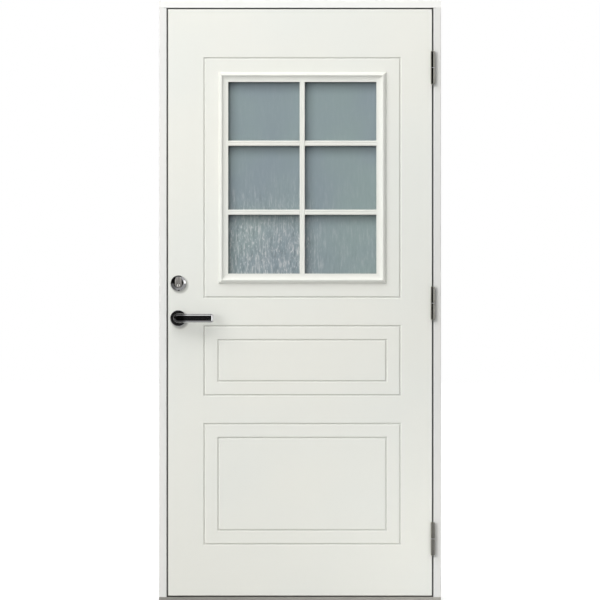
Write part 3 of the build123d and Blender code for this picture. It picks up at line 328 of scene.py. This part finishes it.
def seal_rubber(name, colour):
    """Extruded seal rubber with a dusty bloom."""
    made, graph = material(name)
    dust_and_shadow = graph.cloud(120.0, (0.2, 1, 1), detail=4.0)
    tone = graph.mix(dust_and_shadow.smooth(0.5, 0.8) * 0.3, colour, (0.12, 0.12, 0.12))
    graph.surface(Base_Color=tone, Roughness=0.6 + 0.15 * dust_and_shadow, Normal=graph.bump(dust_and_shadow, 0.0002, 0.4))
    return made


def foam_core(name, colour):
    """Rigid foam: fine closed cells."""
    made, graph = material(name)
    cells = graph.node("ShaderNodeTexVoronoi", {}, {"Vector": graph.place(), "Scale": 700.0})["Distance"]
    tone = graph.mix(cells.smooth(0.1, 0.6), scaled(colour, 0.85), colour)
    graph.surface(Base_Color=tone, Roughness=0.9, Normal=graph.bump(cells, 0.0005, 0.8))
    return made


def clear_glass(name, tint):
    """Float glass, faintly tinted, with a trace of dust."""
    made, graph = material(name)
    dust_and_shadow = graph.cloud(35.0, detail=3.0)
    graph.surface(Base_Color=graph.mix(dust_and_shadow.smooth(0.6, 0.9) * 0.2, tint, (0.9, 0.9, 0.9)),
                  Roughness=0.02 + 0.04 * dust_and_shadow, Transmission_Weight=1.0, IOR=1.5)
    return made


def obscure_glass(name, settings):
    """Rolled glass with long upright ripples and painted highlights, both densest at the foot of the lock
    side.

    A painted shadow of the mouldings and bars darkens the tone along the top and left edge of each light.
    """
    made, graph = material(name)
    fine = graph.cloud(175.0, (1, 1, 0.14), detail=4.0, roughness=0.62)
    broad = graph.cloud(42.0, (1, 1, 0.16), detail=3.0)
    drops = graph.cloud(330.0, (1, 1, 0.22), detail=2.0)
    drift = graph.cloud(3.2, detail=2.0)
    at = graph.axes()
    wet = at["Z"].smooth(*WET_HEIGHT) * (0.25 + 0.75 * at["X"].smooth(*WET_SIDE)) * 0.94 + 0.06
    tone = graph.mix(drift.smooth(0.35, 0.68), tuple(settings.glass_colour), tuple(settings.glass_shade))
    # Painted highlights along the ripples, and painted darker flecks beside them
    tone = graph.mix(fine.smooth(0.5, 0.7) * wet * 0.9, tone, tuple(settings.ripple_highlight))
    tone = graph.mix(drops.smooth(0.57, 0.67) * wet * wet, tone, tuple(settings.ripple_highlight))
    tone = graph.mix((1.0 - fine.smooth(0.28, 0.48)) * wet * 0.55, tone,
                     scaled(settings.glass_shade, 0.4))

    # Painted shadow cast by the mouldings and bars
    shade = 0.0
    for top in LIGHT_TOPS:
        wide = at["Z"].smooth(top - 0.05, top) * 0.4
        close = at["Z"].smooth(top - 0.008, top) * 0.32
        shade = (wide + close) * at["Z"].smooth(top + 0.01, top + 0.008) + shade
    for left in LIGHT_LEFTS:
        wide = at["X"].smooth(left + 0.045, left) * 0.32
        close = at["X"].smooth(left + 0.008, left) * 0.28
        shade = (wide + close) * at["X"].smooth(left - 0.01, left - 0.008) + shade
    tone = graph.mix(shade, tone, scaled(settings.glass_shade, 0.15))
    ripple = (fine * 0.6 + broad * 0.4) * (0.04 + 0.96 * wet)
    graph.surface(Base_Color=tone, Roughness=0.28 + 0.2 * broad, Specular_IOR_Level=0.3,
                  Transmission_Weight=0.35, IOR=1.5, Normal=graph.bump(ripple, 0.0012, 0.55))
    return made


def sill_metal(name, colour):
    """Anodised sill, scuffed along the door by feet, with painted light that grows towards the right."""
    made, graph = material(name)
    rolled = graph.cloud(260.0, (0.03, 1, 1), detail=3.0)
    scuffs = graph.cloud(24.0, (0.4, 1, 1), detail=5.0, roughness=0.68)
    # Painted light: the sill grows lighter towards the right
    side = graph.axes()["X"]
    tone = graph.mix(side.smooth(-0.5, 0.5), colour, scaled(colour, 1.3))
    tone = graph.mix(scuffs.smooth(0.5, 0.78) * 0.5, tone, scaled(colour, 0.72))
    rough = 0.42 + 0.16 * scuffs
    graph.surface(Base_Color=tone, Roughness=rough, Metallic=0.35, Normal=graph.bump(rolled, 0.00015, 0.5))
    return made


def dress(nodes, finish):
    """Gives CAD nodes a finish on every slot."""
    for name in nodes:
        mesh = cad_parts[name].data
        if not mesh.materials:
            mesh.materials.append(finish)
        for index in range(len(mesh.materials)):
            mesh.materials[index] = finish


# Settings


class DoorFinish(bpy.types.PropertyGroup):
    """Colours of the painted and glazed parts."""

    leaf_paint: bpy.props.FloatVectorProperty(
        name="Leaf paint", description="Colour of the leaf, its mouldings and its bars", subtype="COLOR",
        size=3, min=0.0, max=1.0, default=(0.8, 0.8, 0.74))
    # The head's colour is a lighter copy of the jambs' paint: painted light from above
    lit_head_paint: bpy.props.FloatVectorProperty(
        name="Head paint", description="Colour of the frame's head", subtype="COLOR",
        size=3, min=0.0, max=1.0, default=(0.88, 0.875, 0.845))
    jamb_paint: bpy.props.FloatVectorProperty(
        name="Jamb paint", description="Colour of the jambs", subtype="COLOR",
        size=3, min=0.0, max=1.0, default=(0.8, 0.795, 0.765))
    glass_colour: bpy.props.FloatVectorProperty(
        name="Glass", description="Greenish tone of the obscure glass", subtype="COLOR", size=3,
        min=0.0, max=1.0, default=(0.33, 0.415, 0.415))
    glass_shade: bpy.props.FloatVectorProperty(
        name="Glass shade", description="Bluish tone of the obscure glass", subtype="COLOR", size=3,
        min=0.0, max=1.0, default=(0.305, 0.37, 0.41))
    # The ripples' painted highlights, which stand in for light bent by the rolled glass
    ripple_highlight: bpy.props.FloatVectorProperty(
        name="Ripples", description="Colour that the ripples catch", subtype="COLOR", size=3,
        min=0.0, max=1.0, default=(0.7, 0.71, 0.705))
    sill: bpy.props.FloatVectorProperty(
        name="Sill", description="Colour of the threshold cover", subtype="COLOR", size=3,
        min=0.0, max=1.0, default=(0.36, 0.349, 0.318))


class DoorRipples(bpy.types.PropertyGroup):
    """Relief of the obscure pane."""

    depth: bpy.props.FloatProperty(
        name="Depth", description="Height of the ripples", unit="LENGTH", default=0.0007, min=0.0)
    step: bpy.props.FloatProperty(
        name="Step", description="Distance across between the pane's points, three times that upwards",
        unit="LENGTH", default=0.003, min=0.001)


class DoorScrews(bpy.types.PropertyGroup):
    """Shape of the cross-recess screws."""

    recess: bpy.props.FloatProperty(
        name="Recess", description="Half length of the recess as a share of the head's radius",
        subtype="FACTOR", default=0.56, min=0.3, max=0.8)
    thread: bpy.props.FloatProperty(
        name="Thread", description="Depth of the thread", unit="LENGTH", default=0.0005, min=0.0)
    pitch: bpy.props.FloatProperty(
        name="Pitch", description="Distance between two turns of the thread", unit="LENGTH",
        default=0.0018, min=0.0008)


class DoorStudio(bpy.types.PropertyGroup):
    """Camera and lamps."""

    view_height: bpy.props.FloatProperty(
        name="Camera height", description="Height of the camera", unit="LENGTH", default=1.0482)
    distance: bpy.props.FloatProperty(
        name="Camera distance", description="From the camera to the frame's front", unit="LENGTH",
        default=11.584)
    lens: bpy.props.FloatProperty(
        name="Lens", description="Focal length of the camera", unit="CAMERA", default=200.0, min=1.0)
    key_power: bpy.props.FloatProperty(
        name="Key lamp", description="Power of the lamp at the upper left", unit="POWER", default=638.0)
    top_power: bpy.props.FloatProperty(
        name="Top lamp", description="Power of the lamp above the door", unit="POWER", default=193.0)
    side_power: bpy.props.FloatProperty(
        name="Side lamp", description="Power of the low lamp at the left", unit="POWER", default=159.0)
    foot_power: bpy.props.FloatProperty(
        name="Foot lamp", description="Power of the small lamp at the foot of the hinge side",
        unit="POWER", default=0.65)
    back_power: bpy.props.FloatProperty(
        name="Back lamp", description="Power of the lamp behind the door", unit="POWER", default=420.0)
    room_light: bpy.props.FloatProperty(
        name="Room light", description="Strength of the light from all round", default=0.227, min=0.0)


# Meshes


def mesh_of(bm, name):
    """A mesh from a bmesh, which is freed."""
    mesh = bpy.data.meshes.new(name)
    bm.to_mesh(mesh)
    bm.free()
    return mesh


def mesh_object(bm, name):
    """An object at the origin from a bmesh, which is freed."""
    made = bpy.data.objects.new(name, mesh_of(bm, name))
    bpy.context.scene.collection.objects.link(made)
    return made


def step_between(value, low, high):
    """0 at low, 1 at high, with a soft step between, in either direction."""
    share = min(max((value - low) / (high - low), 0.0), 1.0)
    return share * share * (3 - 2 * share)


def solids_of(mesh):
    """The points of each separate solid of a mesh."""
    bm = bmesh.new()
    bm.from_mesh(mesh)
    bmesh.ops.remove_doubles(bm, verts=bm.verts, dist=1e-6)
    left = set(bm.verts)
    solids = []
    for start in bm.verts:
        if start not in left:
            continue
        left.discard(start)
        queue = [start]
        points = []
        while queue:
            vert = queue.pop()
            points.append(vert.co.copy())
            near = {edge.other_vert(vert) for edge in vert.link_edges} & left
            left -= near
            queue.extend(near)
        solids.append(points)
    bm.free()
    return solids


def radius_at(points, x, axis):
    """How far the points at x lie from the line of the screw."""
    return max((math.dist((p.y, p.z), axis) for p in points if abs(p.x - x) < 1e-5), default=0.0)


def cross_screw(points, shape, turn):
    """A countersunk cross-recess screw, as a mesh, in the place of a plain CAD screw.

    Half its section is spun round, the cross is bridged into the head, and its walls go down to a floor.
    """
    bm = bmesh.new()
    ends = (min(p.x for p in points), max(p.x for p in points))
    axis = tuple((min(p[i] for p in points) + max(p[i] for p in points)) / 2 for i in (1, 2))
    ends = sorted(ends, key=lambda x: -radius_at(points, x, axis))
    head = radius_at(points, ends[0], axis)
    shank = radius_at(points, ends[1], axis)
    length = abs(ends[1] - ends[0])
    tip = length - 2 * shank
    rim = 0.04 * head
    profile = [(head - rim, 0.0), (head, rim), (shank, rim + head - shank)]
    depth = profile[-1][1] + shape.pitch
    while depth < tip:
        profile += [(shank - shape.thread, depth - shape.pitch * 0.6), (shank, depth)]
        depth += shape.pitch
    profile += [(shank - shape.thread, tip), (0.0, length)]
    made = [bm.verts.new((radius, 0, depth)) for radius, depth in profile]
    line = [bm.edges.new(pair) for pair in zip(made, made[1:])]
    bmesh.ops.spin(bm, geom=made + line, cent=(0, 0, 0), axis=(0, 0, 1), angle=2 * math.pi, steps=20,
                   use_merge=True)
    bmesh.ops.remove_doubles(bm, verts=bm.verts, dist=1e-6)
    outer = [e for e in bm.edges if e.is_boundary]
    arm = head * shape.recess
    half = arm * 0.24
    corners = [(arm, half), (half, half), (half, arm)]
    outline = []
    for quarter in range(4):
        spin = Matrix.Rotation(quarter * math.pi / 2, 3, "Z")
        outline += [bm.verts.new(spin @ Vector((x, y, 0))) for x, y in corners]
    cross = [bm.edges.new((a, b)) for a, b in zip(outline, outline[1:] + outline[:1])]
    bmesh.ops.bridge_loops(bm, edges=outer + cross)
    walls = bmesh.ops.extrude_edge_only(bm, edges=cross)["geom"]
    narrowed, sunk = 0.55, head * 0.5
    for vert in (v for v in walls if isinstance(v, bmesh.types.BMVert)):
        vert.co = Vector((vert.co.x * narrowed, vert.co.y * narrowed, sunk))
    bottom = [e for e in walls if isinstance(e, bmesh.types.BMEdge) and e.is_boundary]
    bmesh.ops.contextual_create(bm, geom=bottom)
    side = math.copysign(math.pi / 2, ends[1] - ends[0])
    place = (Matrix.Translation((ends[0], *axis)) @ Matrix.Rotation(side, 4, "Y")
             @ Matrix.Rotation(turn, 4, "Z"))
    bmesh.ops.transform(bm, matrix=place, verts=bm.verts)
    bmesh.ops.recalc_face_normals(bm, faces=bm.faces)
    return mesh_of(bm, "screw")


# Operators


class DOOR_OT_paint_woodwork(bpy.types.Operator):
    """Paints the frame, the leaf, its mouldings and its glazing bars"""

    bl_idname = "door.paint_woodwork"
    bl_label = "Paint Woodwork"

    def execute(self, context):
        finish = context.scene.door_finish
        leaf_tint = (0.97, 0.985, 1.0)
        frame_tint = (0.97, 0.98, 0.99)
        # Painted contact shadows lie a little to the lower right of the round plates, and right of the
        # hinges
        rings = []
        for name in ("cylinder_ring", "outer_rosette"):
            low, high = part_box(name)
            rings.append(((low.x + high.x) / 2 + 0.005, (low.z + high.z) / 2 - 0.006, (high.x - low.x) / 2))
        hinges = [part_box(name) for name in HINGES if "frame" in name]
        stripes = [(high.x + 0.001, low.z - 0.006, high.z - 0.002) for low, high in hinges]
        # The number after each tint is the strength of the painted shade in the gap
        dress(LEAF_WOOD, satin_paint("leaf_paint", tuple(finish.leaf_paint), leaf_tint, 0.6, rings))
        dress(["frame_head"], satin_paint("lit_head_paint", tuple(finish.lit_head_paint), frame_tint, 0.97))
        dress(["frame_lock_jamb"], satin_paint("jamb_paint", tuple(finish.jamb_paint), frame_tint, 0.92))
        # The hinge jamb takes a darker copy of the jambs' paint: painted shade on the right side
        shaded_jamb_colour = scaled(finish.jamb_paint, 0.94)
        hinge_jamb = satin_paint("shaded_hinge_jamb_paint", shaded_jamb_colour, frame_tint, 0.99, stripes=stripes)
        dress(["frame_hinge_jamb"], hinge_jamb)
        dress(TIMBER, wood("planed_pine", (0.72, 0.53, 0.32), (0.55, 0.36, 0.19), 55.0))
        dress(["threshold"], wood("oiled_oak", (0.5, 0.33, 0.18), (0.3, 0.18, 0.09), 70.0, "x"))
        dress(["insulation_core"], foam_core("rigid_foam", (0.86, 0.82, 0.6)))
        dress(SEALS, seal_rubber("black_seal", (0.02, 0.02, 0.02)))
        dress(["threshold_cover"], sill_metal("anodised_sill", tuple(finish.sill)))
        return {"FINISHED"}


class DOOR_OT_plate_hardware(bpy.types.Operator):
    """Finishes the levers, roses, hinges and lock"""

    bl_idname = "door.plate_hardware"
    bl_label = "Plate Hardware"

    def execute(self, context):
        chrome = (0.78, 0.78, 0.79)
        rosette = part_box("outer_rosette")[1].x
        low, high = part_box("cylinder_ring")
        ring = ((low.x + high.x) / 2, high.y - 0.002, (low.z + high.z) / 2)

        # Painted reflection: the lever's root beside the rosette is darkened as if it mirrored a dark room
        def lever_root(graph):
            return graph.axes()["X"].smooth(rosette + 0.006, rosette - 0.014)

        # Painted shade in the ring's mouth round the plug, and a painted dark reflection on its left side
        def ring_floor(graph):
            left = graph.axes()["X"].smooth(ring[0] - 0.002, ring[0] - 0.016) * 0.75
            return graph.reach(ring).smooth(0.0176, 0.0164).most(left)

        dress(CHROME, chrome_plate("polished_chrome", chrome))
        dress(["lever_outer"], chrome_plate("root_shaded_chrome", chrome, lever_root))
        dress(["cylinder_ring"], chrome_plate("ring_chrome", chrome, ring_floor))
        dress(HINGES, brushed_metal("polished_nickel", (0.44, 0.43, 0.39), 0.08, (1, 1, 0.04), 1.0))
        dress(SATIN_METAL, brushed_metal("satin_nickel", (0.6, 0.585, 0.56), 0.24, (1, 1, 0.04)))
        dress(["cylinder_body"], brushed_cylinder("brushed_cylinder", (0.72, 0.69, 0.65)))
        dress(["key_plug"], key_brass("bright_plug", (0.86, 0.84, 0.8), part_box("key_plug")[0].y))
        dress(PLATED_STEEL, brushed_metal("plated_steel", (0.52, 0.53, 0.55), 0.32, (1, 0.3, 1)))
        dress(["glass_spacers"], brushed_metal("spacer_bar", (0.6, 0.6, 0.62), 0.35, (0.2, 1, 0.2)))
        return {"FINISHED"}


class DOOR_OT_fit_glass(bpy.types.Operator):
    """Makes the rippled outer pane and finishes the two clear ones"""

    bl_idname = "door.fit_glass"
    bl_label = "Fit Glass"

    def execute(self, context):
        ripples = context.scene.door_ripples
        low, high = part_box("glass_outer")
        columns = round((high.x - low.x) / ripples.step)
        rows = round((high.z - low.z) / (3 * ripples.step))
        bm = bmesh.new()
        bmesh.ops.create_grid(bm, x_segments=columns, y_segments=rows, size=0.5)
        turn = Matrix.Rotation(math.radians(90), 4, "X")
        size = Matrix.Diagonal((high.x - low.x, 1, high.z - low.z, 1))
        middle = Matrix.Translation(((low.x + high.x) / 2, low.y, (low.z + high.z) / 2))
        bmesh.ops.transform(bm, matrix=middle @ size @ turn, verts=bm.verts)
        sheet = bm.faces[:]
        edge = [e for e in bm.edges if e.is_boundary]
        walls = bmesh.ops.extrude_edge_only(bm, edges=edge)["geom"]
        rim = [v for v in walls if isinstance(v, bmesh.types.BMVert)]
        bmesh.ops.translate(bm, vec=(0, high.y - low.y, 0), verts=rim)
        bmesh.ops.contextual_create(bm, geom=[e for e in bm.edges if e.is_boundary])
        across, up = 90, 14
        for vert in {v for face in sheet for v in face.verts}:
            wet = step_between(vert.co.z, *WET_HEIGHT) * step_between(vert.co.x, *WET_SIDE)
            at = Vector((vert.co.x * across, 0, vert.co.z * up))
            vert.co.y += ripples.depth * (0.03 + 0.97 * wet) * (0.5 + 0.5 * noise.noise(at))
        bmesh.ops.recalc_face_normals(bm, faces=bm.faces)
        pane = mesh_object(bm, "rippled_pane")
        pane.data.materials.append(obscure_glass("obscure_glass", context.scene.door_finish))
        for face in pane.data.polygons:
            face.use_smooth = len(face.vertices) == 4 and abs(face.normal.y) > 0.5
        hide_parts("glass_outer")
        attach(pane, "leaf")
        dress(["glass_middle", "glass_inner"], clear_glass("clear_glass", (0.86, 0.9, 0.89)))
        return {"FINISHED"}


class DOOR_OT_drive_screws(bpy.types.Operator):
    """Makes cross-recess screws in the places of the plain ones"""

    bl_idname = "door.drive_screws"
    bl_label = "Drive Screws"

    def execute(self, context):
        finish = brushed_metal("zinc_screws", (0.66, 0.66, 0.64), 0.3, (1, 1, 1))
        for number, (name, body) in enumerate(SCREWS.items()):
            bm = bmesh.new()
            for index, points in enumerate(solids_of(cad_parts[name].data)):
                screw = cross_screw(points, context.scene.door_screws, 0.7 * index + number)
                bm.from_mesh(screw)
                bpy.data.meshes.remove(screw)
            made = mesh_object(bm, f"cross_{name}")
            made.data.materials.append(finish)
            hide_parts(name)
            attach(made, body)
        return {"FINISHED"}


class DOOR_OT_set_studio(bpy.types.Operator):
    """Puts up the floor, the lamps, the room light and the camera"""

    bl_idname = "door.set_studio"
    bl_label = "Set Studio"

    def execute(self, context):
        scene = context.scene
        studio = scene.door_studio
        scene.view_settings.view_transform = "Standard"

        bm = bmesh.new()
        bmesh.ops.create_grid(bm, x_segments=1, y_segments=1, size=30.0)
        floor = mesh_object(bm, "studio_floor")
        finish, graph = material("studio_floor")
        # White to the eye, and less so near the door, where the plain floor's shadow shows through
        seen, mirrored = graph.rays()
        pale = graph.node("ShaderNodeBsdfDiffuse", {}, {"Color": 0.5 + 0.45 * seen})["BSDF"]
        glow = seen * 1.22 + mirrored * 0.34
        white = graph.node("ShaderNodeEmission", {}, {"Color": glow, "Strength": 1.0})["Emission"]
        share = 0.58 + 0.42 * graph.reach((0, 0, 0)).smooth(0.35, 1.5)
        inputs = {0: seen * share + mirrored, 1: pale, 2: white}
        mixed = graph.node("ShaderNodeMixShader", {}, inputs)["Shader"]
        graph.node("ShaderNodeOutputMaterial", {}, {"Surface": mixed})
        floor.data.materials.append(finish)

        world = bpy.data.worlds.new("studio_room")
        world.use_nodes = True
        scene.world = world
        room = Graph(world.node_tree)
        # White to the eye. Metal sees a backdrop behind, a panel above and a window at the right.
        seen, mirrored = room.rays()
        way = room.node("ShaderNodeTexCoord")["Generated"]
        way = room.node("ShaderNodeSeparateXYZ", {}, {"Vector": way})
        backdrop = way["Y"].smooth(0.25, 0.7)
        ceiling = way["Z"].smooth(0.16, 0.3) * way["X"].size().smooth(0.45, 0.3)
        ceiling = ceiling * way["Y"].smooth(-0.45, -0.62)
        beside = way["X"].smooth(0.3, 0.5) * way["Y"].smooth(-0.82, -0.74)
        tall = way["Z"].smooth(0.42, 0.3) * way["Z"].smooth(-0.4, -0.28)
        window = beside * (0.5 + 1.1 * tall * way["Y"].smooth(-0.74, -0.68) * way["Y"].smooth(-0.3, -0.42))
        reflected = 0.012 + backdrop.most(ceiling * 0.95).most(window)
        strength = seen + mirrored * reflected + (1.0 - seen) * (1.0 - mirrored) * studio.room_light
        light = room.node("ShaderNodeBackground", {}, {"Color": strength, "Strength": 1.0})["Background"]
        room.node("ShaderNodeOutputWorld", {}, {"Surface": light})

        middle = (0, FRONT, 1.05)
        foot = (0.45, FRONT, 0)
        wide, narrow = math.radians(180), math.radians(70)
        # Name, place, aim, size, spread and power
        lamps = (
            ("key_lamp", (-8.4, FRONT - 5.0, 7.9), middle, 8.0, wide, studio.key_power),
            ("top_lamp", (0.0, FRONT - 3.0, 5.6), middle, 5.0, wide, studio.top_power),
            ("side_lamp", (-4.5, FRONT - 6.0, 1.6), middle, 3.5, wide, studio.side_power),
            ("foot_lamp", (1.15, FRONT - 1.2, 0.15), foot, 0.5, narrow, studio.foot_power),
            ("back_lamp", (4.0, FRONT + 7.0, 4.5), middle, 5.0, wide, studio.back_power),
        )
        for name, place, aim, size, spread, power in lamps:
            lamp = bpy.data.lights.new(name, "AREA")
            lamp.size = size
            lamp.spread = spread
            lamp.energy = power
            made = bpy.data.objects.new(name, lamp)
            made.location = place
            made.rotation_euler = (Vector(aim) - Vector(place)).to_track_quat("-Z", "Y").to_euler()
            made.visible_glossy = False
            made.visible_camera = False
            scene.collection.objects.link(made)

        lens = bpy.data.cameras.new("photo_camera")
        lens.lens = studio.lens
        camera = bpy.data.objects.new("photo_camera", lens)
        camera.location = (0, FRONT - studio.distance, studio.view_height)
        camera.rotation_euler = (math.radians(90), 0, 0)
        scene.collection.objects.link(camera)
        scene.camera = camera
        return {"FINISHED"}


class DOOR_PT_looks(bpy.types.Panel):
    """Lists the finishes and the steps"""

    bl_label = "Front Door"
    bl_idname = "DOOR_PT_looks"
    bl_space_type = "VIEW_3D"
    bl_region_type = "UI"
    bl_category = "Door"

    def draw(self, context):
        scene = context.scene
        for group in (getattr(scene, name) for name in GROUPS):
            box = self.layout.box()
            for name in group.__annotations__:
                box.prop(group, name)
        for step in STEPS:
            self.layout.operator(step.bl_idname)


GROUPS = {
    "door_finish": DoorFinish, "door_ripples": DoorRipples, "door_screws": DoorScrews,
    "door_studio": DoorStudio,
}
STEPS = (
    DOOR_OT_set_studio, DOOR_OT_paint_woodwork, DOOR_OT_plate_hardware, DOOR_OT_fit_glass,
    DOOR_OT_drive_screws,
)


def register():
    for kind in (*GROUPS.values(), *STEPS, DOOR_PT_looks):
        bpy.utils.register_class(kind)
    for name, kind in GROUPS.items():
        setattr(bpy.types.Scene, name, bpy.props.PointerProperty(type=kind))


def unregister():
    for name in GROUPS:
        delattr(bpy.types.Scene, name)
    for kind in reversed((*GROUPS.values(), *STEPS, DOOR_PT_looks)):
        bpy.utils.unregister_class(kind)


def main():
    register()
    bpy.ops.door.set_studio()
    bpy.ops.door.paint_woodwork()
    bpy.ops.door.plate_hardware()
    bpy.ops.door.fit_glass()
    bpy.ops.door.drive_screws()


if __name__ == "__main__":
    main()
